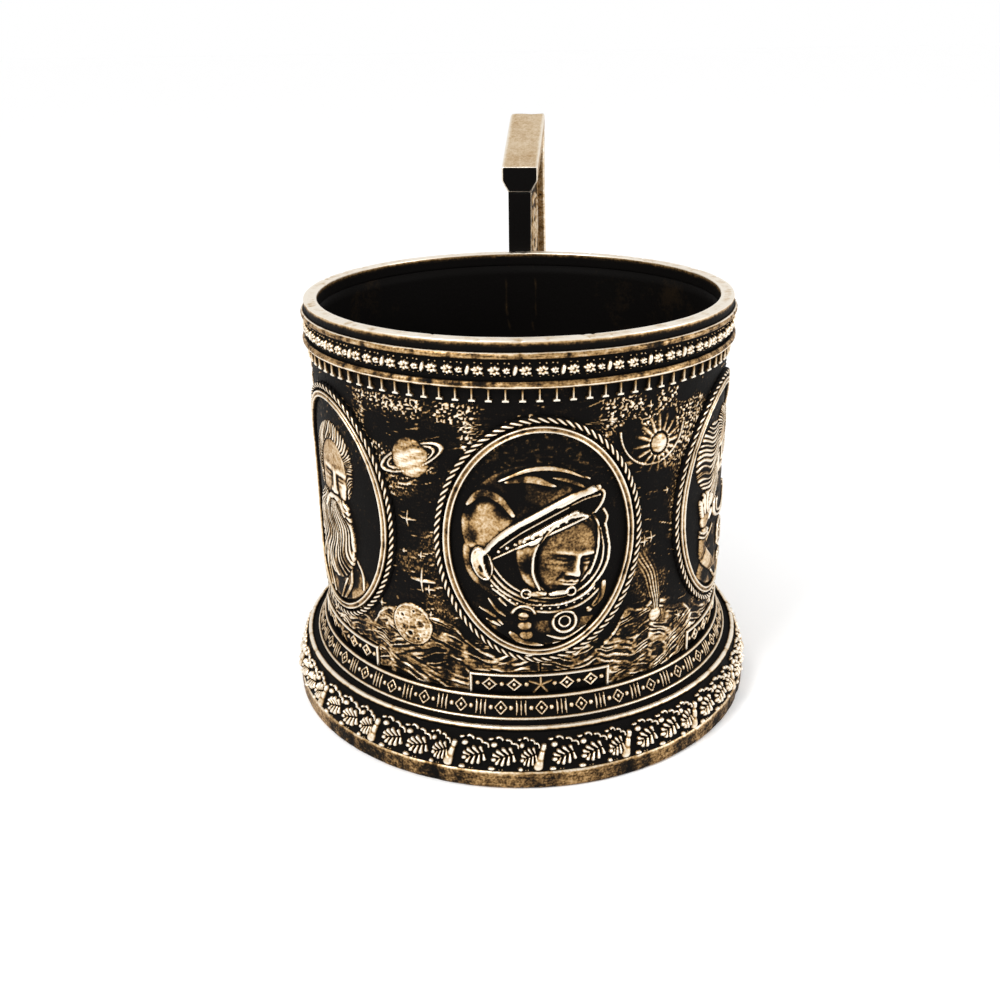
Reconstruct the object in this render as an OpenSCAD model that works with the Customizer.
// Tea glass holder of cast brass: a decorated cup on a flared foot, with five rope-framed
// portrait medallions, a wreath of oak leaves round the foot and a strapped ear handle.
// The cup's axis is Z, the table is at Z = 0 and the handle stands towards +Y.

/* [Glass] */
// Bore that takes the tea glass
bore_d = 70; // [66:0.5:76]

/* [Body] */
// Height from the table to the top of the rim
body_h = 74; // [70:1:90]
// Thickness of the wall
wall_t = 1.6; // [1.2:0.1:2.4]
// Thickness of the bottom plate that the glass stands on
plate_t = 1.6; // [1:0.1:3]

/* [Rim] */
// Height of the plain collar at the top
collar_h = 1.7; // [1:0.1:3]
// How far the collar stands out from the wall
collar_proj = 0.7; // [0.5:0.1:1.2]
// Height of the moulding under the collar
upper_mould_h = 1.1; // [0.8:0.1:2]
// How far the moulding under the collar stands out
upper_mould_proj = 1.3; // [1:0.1:2]
// Height of the strip of small leaves
strip_h = 3.3; // [2.5:0.1:5]
// Thickness of the strip's plain ground
strip_t = 0.4; // [0.3:0.1:0.8]
// How far the small leaves stand out from their ground
strip_relief = 0.7; // [0.4:0.1:1]
// Width of a small leaf
small_leaf_w = 2; // [1.6:0.1:2.1]
// Height of a small leaf
small_leaf_h = 2.4; // [2:0.1:2.5]
// Small leaf units round the strip
strip_units = 33; // [24:1:35]
// Height of the moulding under the strip
lower_mould_h = 1.2; // [0.8:0.1:2]
// How far the moulding under the strip stands out
lower_mould_proj = 1.3; // [1:0.1:2]
// Number of dentils under the mouldings
dentils = 92; // [60:2:110]
// Height of a dentil
dentil_h = 2.1; // [1.5:0.1:3]
// Width of a dentil's stem
dentil_stem_w = 0.5; // [0.3:0.05:0.8]
// Width of a dentil's foot
dentil_foot_w = 1.3; // [1:0.1:1.5]
// Height of a dentil's foot
dentil_foot_h = 0.5; // [0.3:0.1:0.8]
// How far the dentils stand out
dentil_proj = 0.6; // [0.3:0.1:1]

/* [Foot] */
// How far the foot's band stands out from the wall
foot_proj = 6.8; // [5.5:0.1:9]
// Height of the plain band that stands on the table
band_h = 3.4; // [2:0.1:5]
// How much the band draws in towards the table
band_draft = 0.4; // [0:0.1:1]
// Thickness of the foot's skirt and band
skirt_t = 1.8; // [1.2:0.1:3]
// Height of the sloping wreath
wreath_h = 6.3; // [5:0.1:8]
// How far the middle of the bead over the wreath stands out from the ribbon's foot
bead_out = 1.8; // [1:0.1:2.2]
// Thickness of the wreath's ground
wreath_t = 0.4; // [0.3:0.1:0.8]
// How far the oak leaves and their ties stand out from their ground
wreath_relief = 0.8; // [0.4:0.1:1.2]
// Width of an oak leaf
oak_leaf_w = 4; // [3:0.1:4.2]
// Length of an oak leaf, up the slope
oak_leaf_h = 4.4; // [3.5:0.1:4.6]
// Ties round the wreath, with two and a half leaves between each pair
wreath_units = 18; // [12:1:24]
// Thickness of the round bead above the wreath
bead_d = 1; // [0.8:0.1:2]
// Height of the ribbon band's foot above the middle of the bead
ribbon_rise = 0.3; // [0:0.1:1]
// Height of the ribbon band
ribbon_h = 3.9; // [3:0.1:6]
// How far the ribbon band stands out at its top
ribbon_top_proj = 0.8; // [0.5:0.1:1.5]
// How far the ribbon band stands out at its bottom
ribbon_low_proj = 2.5; // [1.5:0.1:3]
// Width of the raised line along each edge of the ribbon
ribbon_line = 0.5; // [0.3:0.1:1]

/* [Medallions] */
// Angle of the front medallion, turned from -Y towards +X
medal_turn = 5; // [-15:1:15]
// Angle from one medallion to the next
medal_step_angle = 64.5; // [60:0.5:68]
// Gap between two neighbouring medallions, straight across
medal_space = 6; // [4:0.5:10]
// Gap between a medallion and the dentils
medal_gap = 2; // [1:0.1:4]
// Gap between a medallion and its name plate
plaque_gap = 2; // [1:0.1:4]
// Width of the rope frame
rope_w = 1.3; // [1:0.1:2]
// Strands that show round one rope frame
rope_strands = 40; // [30:2:60]
// Width of the smooth bezel inside the rope
bezel_w = 1.2; // [0.8:0.1:2]
// Gap between the rope and the bezel
bezel_gap = 0.2; // [0.1:0.05:0.5]
// How far the bezel stands out from the wall
bezel_proj = 0.9; // [0.5:0.1:1.4]
// How far the portraits stand out from the wall
bust_relief = 1.5; // [1:0.1:1.6]
// Width of a name plate
plaque_w = 23; // [18:0.5:25]
// Height of a name plate
plaque_h = 3.8; // [3.4:0.1:4.8]
// Width of the raised line round a name plate
plaque_line = 0.5; // [0.3:0.1:0.8]

/* [Handle] */
// Height of the thumb rest's low edge above the rim
thumb_rise = 16.7; // [12:0.5:20]
// Slope of the thumb rest
thumb_slope = 27; // [15:1:30]
// How far the thumb rest reaches out from the cup
thumb_reach = 18; // [16:0.5:20]
// Width of the thumb rest and of the strap
strap_w = 7.3; // [6:0.1:9]
// Thickness of the strap and of the thumb rest's edge
strap_t = 2.4; // [1.6:0.1:3]
// Depth of the chamfer that joins the thumb rest to the web
thumb_chamfer = 2; // [1:0.1:3]
// Thickness of the handle's web
web_t = 4.7; // [3.5:0.1:5.5]
// How far the ear of the handle reaches out from the wall
ear_reach = 26; // [24:0.5:30]
// How far the ear's widest place lies below the rim
ear_drop = 24; // [20:1:28]
// Height of the ear's foot above the table
ear_foot_z = 17; // [15:0.5:20]
// Depth of the web inside the strap, at the finger gap
web_d = 3.6; // [3:0.1:5]
// Turn of the handle to one side, at its root
handle_turn = 6; // [0:1:8]
// How far the handle's root sits to that side
handle_shift = 0.5; // [0:0.1:1]

/* [Hidden] */
$fn = 96;

// Overrun of a cutting shape past what it cuts
over = 1;
bore_r = bore_d / 2;
wall_r = bore_r + wall_t;

// Heights of the rim's parts, from the top down
collar_z = body_h - collar_h;
upper_mould_z = collar_z - upper_mould_h;
strip_z = upper_mould_z - strip_h;
lower_mould_z = strip_z - lower_mould_h;
dentil_z = lower_mould_z - dentil_h;

// Heights and radii of the foot's parts, from the table up
foot_r = wall_r + foot_proj;
wreath_z = band_h;
bead_r = bead_d / 2;
bead_z = wreath_z + wreath_h + bead_r;
ribbon_z = bead_z + ribbon_rise;
ribbon_top = ribbon_z + ribbon_h;
ribbon_low_r = wall_r + ribbon_low_proj;
ribbon_top_r = wall_r + ribbon_top_proj;
bead_ring_r = ribbon_low_r + bead_out;
wreath_low_r = foot_r - band_draft;
wreath_top_r = bead_ring_r;
wreath_slope = atan2(wreath_h, wreath_low_r - wreath_top_r);
wreath_ground = wreath_t / sin(wreath_slope);

// Sizes of a medallion over its rope, and the height of its centre
medal_w = 2 * wall_r * sin(medal_step_angle / 2) - medal_space;
medal_low = ribbon_top + plaque_h + plaque_gap;
medal_h = dentil_z - medal_gap - medal_low;
medal_z = medal_low + medal_h / 2;

brass = [0.62, 0.48, 0.28];
dark_brass = [0.24, 0.18, 0.12];
bright_brass = [0.86, 0.76, 0.58];

// A ring of the given heights and radii
module ring(z, h, r_in, r_out) {
    translate([0, 0, z])
        rotate_extrude()
            translate([r_in, 0])
                square([r_out - r_in, h]);
}

// A flat outline, stood up and run out through the wall at an angle and a height
module on_wall(angle, z) {
    rotate([0, 0, angle])
        translate([0, -wall_r / 2, z])
            rotate([90, 0, 0])
                linear_extrude(foot_r)
                    children();
}

// A point x to the side of a front point of the wall, at height z, lifted off the wall
function wall_point(x, z, lift) =
    let (a = asin(x / wall_r))
    [(wall_r + lift) * sin(a), -(wall_r + lift) * cos(a), z];

module wall_shell() {
    color(dark_brass)
        ring(plate_t, body_h - plate_t, bore_r, wall_r);
}

module bottom_plate() {
    color(dark_brass)
        cylinder(h = plate_t, r = wall_r);
}

// The skirt flares from the wall to the band and is hollow underneath, as cast
module foot_skirt() {
    color(dark_brass)
        rotate_extrude()
            difference() {
                polygon([
                    [wall_r, ribbon_z],
                    [ribbon_low_r, ribbon_z],
                    [bead_ring_r, bead_z],
                    [wreath_top_r, wreath_z + wreath_h],
                    [wreath_low_r, wreath_z],
                    [wreath_low_r - skirt_t, wreath_z],
                    [wreath_top_r - skirt_t, wreath_z + wreath_h - skirt_t],
                    [wall_r, wreath_z + wreath_h - skirt_t]
                ]);
                translate([bead_ring_r, bead_z])
                    circle(bead_r);
            }
}

module foot_band() {
    color(brass)
        rotate_extrude()
            polygon([
                [wreath_low_r - skirt_t, 0],
                [foot_r - band_draft, 0],
                [foot_r, band_draft],
                [foot_r, wreath_z - band_draft],
                [foot_r - band_draft, wreath_z],
                [wreath_low_r - skirt_t, wreath_z]
            ]);
}

module foot_bead() {
    color(bright_brass)
        rotate_extrude()
            translate([bead_ring_r, bead_z])
                circle(bead_r);
}

// The ground of the wreath lies on the skirt's slope. Between two ties stand two oak leaves
// and a smaller one, tips upwards
module oak_wreath() {
    color(brass) {
        rotate_extrude()
            difference() {
                polygon([
                    [wreath_low_r, wreath_z],
                    [wreath_low_r + wreath_ground, wreath_z],
                    [wreath_top_r + wreath_ground, wreath_z + wreath_h],
                    [wreath_top_r, wreath_z + wreath_h]
                ]);
                translate([bead_ring_r, bead_z])
                    circle(bead_r);
            }
        for (i = [0 : wreath_units - 1]) {
            on_slope(i)
                tie();
            for (leaf = oak_leaf_shares)
                on_slope(i + leaf[0])
                    linear_extrude(wreath_relief * oak_leaf_relief_share + wreath_t / 2)
                        leaf_outline(oak_leaf_w * leaf[1], oak_leaf_h * leaf[1], oak_lobes);
        }
    }
}

// Place of each oak leaf between two ties, and its size, as shares
oak_leaf_shares = [[0.28, 1], [0.58, 1], [0.83, 0.65]];
oak_leaf_relief_share = 0.6;
oak_lobes = 5;
// Width of a tie as a share of its length, and the angle it leans at
tie_width_share = 0.24;
tie_lean = 13;

// Puts a shape on the middle of the wreath's slope, half its ground deep: Y is up the slope
module on_slope(unit) {
    rotate([0, 0, medal_turn + unit * 360 / wreath_units])
        translate([0, -(wreath_low_r + wreath_top_r) / 2, wreath_z + wreath_h / 2])
            rotate([wreath_slope, 0, 0])
                translate([0, 0, wreath_t / 2])
                    children();
}

// A tie is a slanting bar
module tie() {
    length = wreath_h / sin(wreath_slope) - bead_d;
    linear_extrude(wreath_relief + wreath_t / 2)
        rotate([0, 0, tie_lean])
            square([length * tie_width_share, length], center = true);
}

// A leaf's outline: round lobes fan out from its stalk, at the bottom
module leaf_outline(w, h, lobes) {
    steps = lobes * leaf_lobe_steps;
    polygon([
        for (i = [0 : steps])
            let (
                turn = leaf_spread * (2 * i / steps - 1),
                r = 1 - leaf_lobe_share * pow(cos(180 * i / leaf_lobe_steps), 2)
            )
            [w / 2 * r * sin(turn), h / 2 * r * cos(turn)]
    ]);
}

// How deep the leaves are cut between their lobes, how far the lobes go round on each side
// of the tip, and the points that draw one lobe
leaf_lobe_share = 0.22;
leaf_spread = 160;
leaf_lobe_steps = 2;

// The ribbon leans out towards the foot and has a raised line along each edge
module ribbon_band() {
    lean = (ribbon_low_r - ribbon_top_r) * ribbon_line / ribbon_h;
    color(brass)
        rotate_extrude()
            polygon([
                [wall_r, ribbon_z],
                [ribbon_low_r + ribbon_line, ribbon_z],
                [ribbon_low_r + ribbon_line, ribbon_z + ribbon_line],
                [ribbon_low_r - lean, ribbon_z + ribbon_line],
                [ribbon_top_r + lean, ribbon_top - ribbon_line],
                [ribbon_top_r + ribbon_line, ribbon_top - ribbon_line],
                [ribbon_top_r + ribbon_line, ribbon_top],
                [wall_r, ribbon_top]
            ]);
}

// A dentil is a stem on a wider foot, like a T upside down, and follows the wall
module dentil_outline() {
    foot = dentil_foot_w / 2;
    stem = dentil_stem_w / 2;
    polygon([
        [-foot, 0], [foot, 0], [foot, dentil_foot_h], [stem, dentil_foot_h],
        [stem, dentil_h], [-stem, dentil_h], [-stem, dentil_foot_h], [-foot, dentil_foot_h]
    ]);
}

// Place of the first dentil as a share of the space between two
dentil_place_share = 0.22;

module dentil_row() {
    color(bright_brass)
        intersection() {
            ring(dentil_z, dentil_h, wall_r, wall_r + dentil_proj);
            for (i = [0 : dentils - 1])
                rotate([0, 0, (i + dentil_place_share) * 360 / dentils])
                    translate([0, -wall_r + over, dentil_z])
                        rotate([90, 0, 0])
                            linear_extrude(dentil_proj + 2 * over)
                                dentil_outline();
        }
}

// A moulding has a flat back against the wall and a rounded front
module moulding(z, h, proj) {
    nose = h / 2;
    rotate_extrude() {
        translate([wall_r, z])
            square([proj - nose, h]);
        translate([wall_r + proj - nose, z + nose])
            intersection() {
                circle(nose);
                translate([0, -nose])
                    square([nose, h]);
            }
    }
}

module lower_moulding() {
    color(brass)
        moulding(lower_mould_z, lower_mould_h, lower_mould_proj);
}

module upper_moulding() {
    color(brass)
        moulding(upper_mould_z, upper_mould_h, upper_mould_proj);
}

// Two small leaves and a slanting stroke make one unit of the strip, on a plain ground
module leaf_strip() {
    unit_angle = 360 / strip_units;
    middle = strip_z + strip_h / 2;
    color(dark_brass) {
        ring(strip_z, strip_h, wall_r, wall_r + strip_t);
        intersection() {
            ring(strip_z, strip_h, wall_r + strip_t / 2, wall_r + strip_t + strip_relief);
            for (i = [0 : strip_units - 1]) {
                for (place = small_leaf_place_shares)
                    on_wall(medal_turn + (i + stroke_place_share + place) * unit_angle, middle)
                        leaf_outline(small_leaf_w, small_leaf_h, small_leaf_lobes);
                on_wall(medal_turn + (i + stroke_place_share) * unit_angle, middle)
                    rotate([0, 0, stroke_lean])
                        square([small_leaf_w * stroke_share, small_leaf_h], center = true);
            }
        }
    }
}

// Place of the first stroke in its unit, places of the small leaves between two strokes, and
// a stroke's width, as shares
stroke_place_share = 0.47;
small_leaf_place_shares = [0.3, 0.67];
stroke_share = 0.3;
stroke_lean = 20;
small_leaf_lobes = 3;

module rim_collar() {
    color(bright_brass)
        ring(collar_z, collar_h, wall_r, wall_r + collar_proj);
}

// An upright oval of the given width and height
oval_steps = 64;
module oval(w, h) {
    polygon([
        for (i = [0 : oval_steps - 1])
            let (t = 360 * i / oval_steps)
            [w / 2 * cos(t), h / 2 * sin(t)]
    ]);
}

// Angle of medallion number k, of which the third faces the front
function medal_angle(k) = medal_turn + (k - 3) * medal_step_angle;

// The smooth bezel follows the wall and lies inside the rope
module bezel(k) {
    inset = 2 * (rope_w + bezel_gap);
    color(bright_brass)
        intersection() {
            ring(0, body_h, wall_r, wall_r + bezel_proj);
            on_wall(medal_angle(k), medal_z)
                difference() {
                    oval(medal_w - inset, medal_h - inset);
                    oval(medal_w - inset - 2 * bezel_w, medal_h - inset - 2 * bezel_w);
                }
        }
}

// A laid rope, flat on the wall: its section is half round, and the strands swell and
// thin it in turn, slanting across it
module rope(k) {
    steps = rope_strands * rope_strand_steps;
    sides = rope_sides;
    points = [
        for (i = [0 : steps - 1])
            for (j = [0 : sides])
                rope_point(360 * i / steps, 180 * j / sides, 360 * i / rope_strand_steps)
    ];
    row = sides + 1;
    faces = [
        for (i = [0 : steps - 1])
            for (j = [0 : sides])
                let (
                    a = i * row + j,
                    b = i * row + (j + 1) % row,
                    c = (i + 1) % steps * row + (j + 1) % row,
                    d = (i + 1) % steps * row + j
                )
                each [[a, b, c], [a, c, d]]
    ];
    color(bright_brass)
        rotate([0, 0, medal_angle(k)])
            polyhedron(points, faces);
}
rope_strand_steps = 3;
rope_sides = 3;
// How much thinner the rope is between two strands, and how far a strand slants
rope_waist_share = 0.35;
rope_slant = 120;

function rope_point(t, side, phase) =
    let (
        w = medal_w / 2 - rope_w / 2,
        h = medal_h / 2 - rope_w / 2,
        n = [cos(t) / w, sin(t) / h] / norm([cos(t) / w, sin(t) / h]),
        swell = 1 - rope_waist_share * (1 + cos(phase + rope_slant * side / 180)) / 2,
        out = rope_w / 2 * swell * cos(side),
        lift = rope_w / 2 * swell * sin(side)
    )
    wall_point(w * cos(t) + n[0] * out, medal_z + h * sin(t) + n[1] * out, lift);

// Masses that make up each portrait, as [x, z, width, height, lift]: places and sizes are
// shares of the field's half width and half height, the lift a share of the relief
bust_shares = [
    [[0, 0.2, 0.42, 0.42, 1], [0, -0.25, 0.34, 0.45, 0.9], [0, -0.95, 0.85, 0.5, 0.6]],
    [[-0.05, 0.2, 0.4, 0.42, 1], [-0.05, 0.45, 0.5, 0.3, 0.7], [-0.1, -0.8, 0.8, 0.55, 0.6]],
    [[0, 0.15, 0.75, 0.6, 0.9], [0.1, 0.05, 0.45, 0.42, 1], [0.1, -0.85, 0.85, 0.5, 0.7]],
    [[0.05, 0.22, 0.42, 0.42, 1], [0.05, 0.2, 0.58, 0.55, 0.5], [0, -0.85, 0.8, 0.6, 0.6]],
    [[0, 0.2, 0.4, 0.42, 1], [0, 0.4, 0.46, 0.3, 0.8], [0, -0.9, 0.85, 0.55, 0.6]]
];
bust_rings = 11;
bust_sectors = 30;
bust_back_rings = 5;
// Thickness of a portrait's ground, and how steeply its masses round off
bust_ground_share = 0.12;
bust_edge_power = 0.5;

// How far portrait k stands out at x and z, which are shares of its field's half sizes
function bust_lift(k, x, z) =
    bust_relief * max([
        bust_ground_share,
        for (m = bust_shares[k - 1])
            m[4] * pow(max(0, 1 - pow((x - m[0]) / m[2], 2) - pow((z - m[1]) / m[3], 2)), bust_edge_power)
    ]);

function bust_point(k, w, h, turn, share, raised) =
    let (x = share * cos(turn), z = share * sin(turn))
    wall_point(w * x, medal_z + h * z, raised ? bust_lift(k, x, z) : 0);

// A portrait fills its oval: the front is raised in masses and the back lies on the wall
module portrait(k) {
    w = medal_w / 2 - rope_w - bezel_gap - bezel_w;
    h = medal_h / 2 - rope_w - bezel_gap - bezel_w;
    n = bust_sectors;
    front = [
        for (i = [1 : bust_rings])
            for (j = [0 : n - 1])
                bust_point(k, w, h, 360 * j / n, i / bust_rings, true)
    ];
    back = [
        for (i = [1 : bust_back_rings])
            for (j = [0 : n - 1])
                bust_point(k, w, h, 360 * j / n, i / bust_back_rings, false)
    ];
    points = concat(front, back, [bust_point(k, w, h, 0, 0, true), bust_point(k, w, h, 0, 0, false)]);
    first = len(front);
    last = len(front) + len(back);
    faces = [
        for (j = [0 : n - 1])
            let (next = (j + 1) % n)
            each [
                [last, next, j],
                [last + 1, first + j, first + next],
                each strips(j, next, n, 0, bust_rings, false),
                each strips(j, next, n, first, bust_back_rings, true),
                [first - n + j, first - n + next, last - n + next],
                [first - n + j, last - n + next, last - n + j]
            ]
    ];
    color(brass)
        rotate([0, 0, medal_angle(k)])
            polyhedron(points, faces);
}

// Triangles between the rings of one sector, from the index start on
function strips(j, next, n, start, rings, flip) = [
    for (i = [0 : rings - 2])
        let (a = start + i * n + j, b = start + i * n + next, c = b + n, d = a + n)
        each flip ? [[a, c, b], [a, d, c]] : [[a, b, c], [a, c, d]]
];

// A name plate stands on the ribbon, with a raised line along its top and sides
module name_plate(k) {
    color(brass)
        intersection() {
            ring(ribbon_top, plaque_h, wall_r, wall_r + ribbon_top_proj);
            on_wall(medal_angle(k), ribbon_top)
                difference() {
                    translate([-plaque_w / 2, 0])
                        square([plaque_w, plaque_h]);
                    translate([-plaque_w / 2 + plaque_line, -over])
                        square([plaque_w - 2 * plaque_line, plaque_h - plaque_line + over]);
                }
        }
}

// Outlines of the handle are drawn outwards along X and upwards along Y, from the cup's axis
root_r = wall_r + collar_proj;
ear_z = body_h - ear_drop;
thumb_low = [root_r, body_h + thumb_rise];
thumb_top = [root_r + thumb_reach, body_h + thumb_rise + thumb_reach * tan(thumb_slope)];
ear_r = wall_r + ear_reach;
ear_side = [ear_r, ear_z];
ear_foot = [wall_r, ear_foot_z];

// How far each end of a curve keeps its direction, as a share of the curve's height
curve_share = 0.4;
curve_steps = 16;

// A point of the cubic curve that four points set
function curve_point(p, t) =
    pow(1 - t, 3) * p[0] + 3 * pow(1 - t, 2) * t * p[1] + 3 * (1 - t) * t * t * p[2] + pow(t, 3) * p[3];
function curve(p) = [for (i = [0 : curve_steps]) curve_point(p, i / curve_steps)];

// Outer edge of the strap, from under the thumb rest down to the wall, drawn in by inset
strap_top = thumb_top[1] - strap_t;
function ear_top(inset) = curve([
    [thumb_top[0] - inset, strap_top],
    [thumb_top[0] - inset, strap_top - (strap_top - ear_z) * curve_share],
    [ear_r - inset, ear_z + (strap_top - ear_z) * curve_share],
    [ear_r - inset, ear_z]
]);
function ear_low(inset) = curve([
    [ear_r - inset, ear_z],
    [ear_r - inset, ear_z - (ear_z - ear_foot_z) * curve_share],
    [wall_r + ear_reach * curve_share, ear_foot_z + inset],
    [wall_r, ear_foot_z + inset]
]);
function ear_edge(inset) = concat(ear_top(inset), ear_low(inset));

// Stands a handle outline up in the handle's own plane, w thick
module handle_plate(w) {
    translate([handle_shift, root_r, 0])
        rotate([0, 0, -handle_turn])
            translate([w / 2, -root_r, 0])
                rotate([90, 0, -90])
                    mirror([1, 0, 0])
                        linear_extrude(w)
                            children();
}

// What the handle's root is fitted round: the wall, the mouldings and the foot
module cup_outside() {
    rotate_extrude() {
        square([wall_r, body_h]);
        translate([0, strip_z])
            square([wall_r + strip_t, strip_h]);
        translate([0, collar_z])
            square([root_r, 2 * thumb_rise]);
    }
    moulding(lower_mould_z, lower_mould_h, lower_mould_proj);
    moulding(upper_mould_z, upper_mould_h, upper_mould_proj);
    ring(dentil_z, dentil_h, bore_r, wall_r + dentil_proj);
}

// Depth of the thumb rest with its chamfer, measured square to its top
thumb_d = strap_t + thumb_chamfer;
thumb_drop = thumb_d / cos(thumb_slope);

// The web fills the head of the handle and lines the strap round the finger gap
module handle_web() {
    color(dark_brass)
        difference() {
            handle_plate(web_t)
                difference() {
                    polygon(concat(
                        [[0, ear_foot_z + strap_t], [0, thumb_low[1] - thumb_drop], thumb_low - [0, thumb_drop]],
                        [[thumb_top[0] - strap_t, thumb_top[1] - thumb_drop - strap_t * tan(thumb_slope)]],
                        [for (p = ear_edge(strap_t)) if (p[1] < thumb_top[1] - thumb_drop - strap_t) p]
                    ));
                    finger_gap();
                }
            cup_outside();
        }
}

// The finger gap lies between the wall and the web, from the mouldings to the foot of the ear
module finger_gap() {
    inset = strap_t + web_d;
    gap_high = dentil_z - web_d;
    polygon(concat(
        curve([
            [0, gap_high],
            [wall_r + ear_reach * curve_share, gap_high],
            [ear_r - inset, ear_z + (gap_high - ear_z) * curve_share],
            [ear_r - inset, ear_z]
        ]),
        ear_low(inset),
        [[0, ear_foot_z + inset]]
    ));
}

module handle_strap() {
    color(bright_brass)
        difference() {
            handle_plate(strap_w)
                polygon(concat(
                    ear_edge(0),
                    [[0, ear_foot_z], [0, ear_foot_z + strap_t]],
                    [for (i = [2 * curve_steps + 1 : -1 : 0]) ear_edge(strap_t)[i]]
                ));
            cup_outside();
            thumb_block(over);
        }
}

// The thumb rest's section is a flat top with a chamfer down to the web, run up its slope
module thumb_block(extra) {
    length = thumb_reach / cos(thumb_slope);
    translate([handle_shift, root_r, 0])
        rotate([0, 0, -handle_turn])
            translate([0, 0, thumb_low[1]])
                rotate([thumb_slope, 0, 0])
                    translate([0, -thumb_d, 0])
                        rotate([-90, 0, 0])
                            linear_extrude(length + thumb_d + extra)
                                polygon([
                                    [-strap_w / 2, 0],
                                    [strap_w / 2, 0],
                                    [strap_w / 2, strap_t],
                                    [web_t / 2, thumb_d],
                                    [-web_t / 2, thumb_d],
                                    [-strap_w / 2, strap_t]
                                ]);
}

module thumb_rest() {
    color(bright_brass)
        intersection() {
            thumb_block(0);
            handle_plate(strap_w)
                translate([root_r, 0])
                    square([thumb_reach, 2 * body_h]);
        }
}

wall_shell();
bottom_plate();
foot_skirt();
foot_band();
oak_wreath();
foot_bead();
ribbon_band();
dentil_row();
lower_moulding();
leaf_strip();
upper_moulding();
rim_collar();
handle_web();
handle_strap();
thumb_rest();
bezel(1);  // bezel_1
bezel(2);  // bezel_2
bezel(3);  // bezel_3
bezel(4);  // bezel_4
bezel(5);  // bezel_5
rope(1);  // rope_1
rope(2);  // rope_2
rope(3);  // rope_3
rope(4);  // rope_4
rope(5);  // rope_5
portrait(1);  // portrait_1
portrait(2);  // portrait_2
portrait(3);  // portrait_3
portrait(4);  // portrait_4
portrait(5);  // portrait_5
name_plate(1);  // name_plate_1
name_plate(2);  // name_plate_2
name_plate(3);  // name_plate_3
name_plate(4);  // name_plate_4
name_plate(5);  // name_plate_5
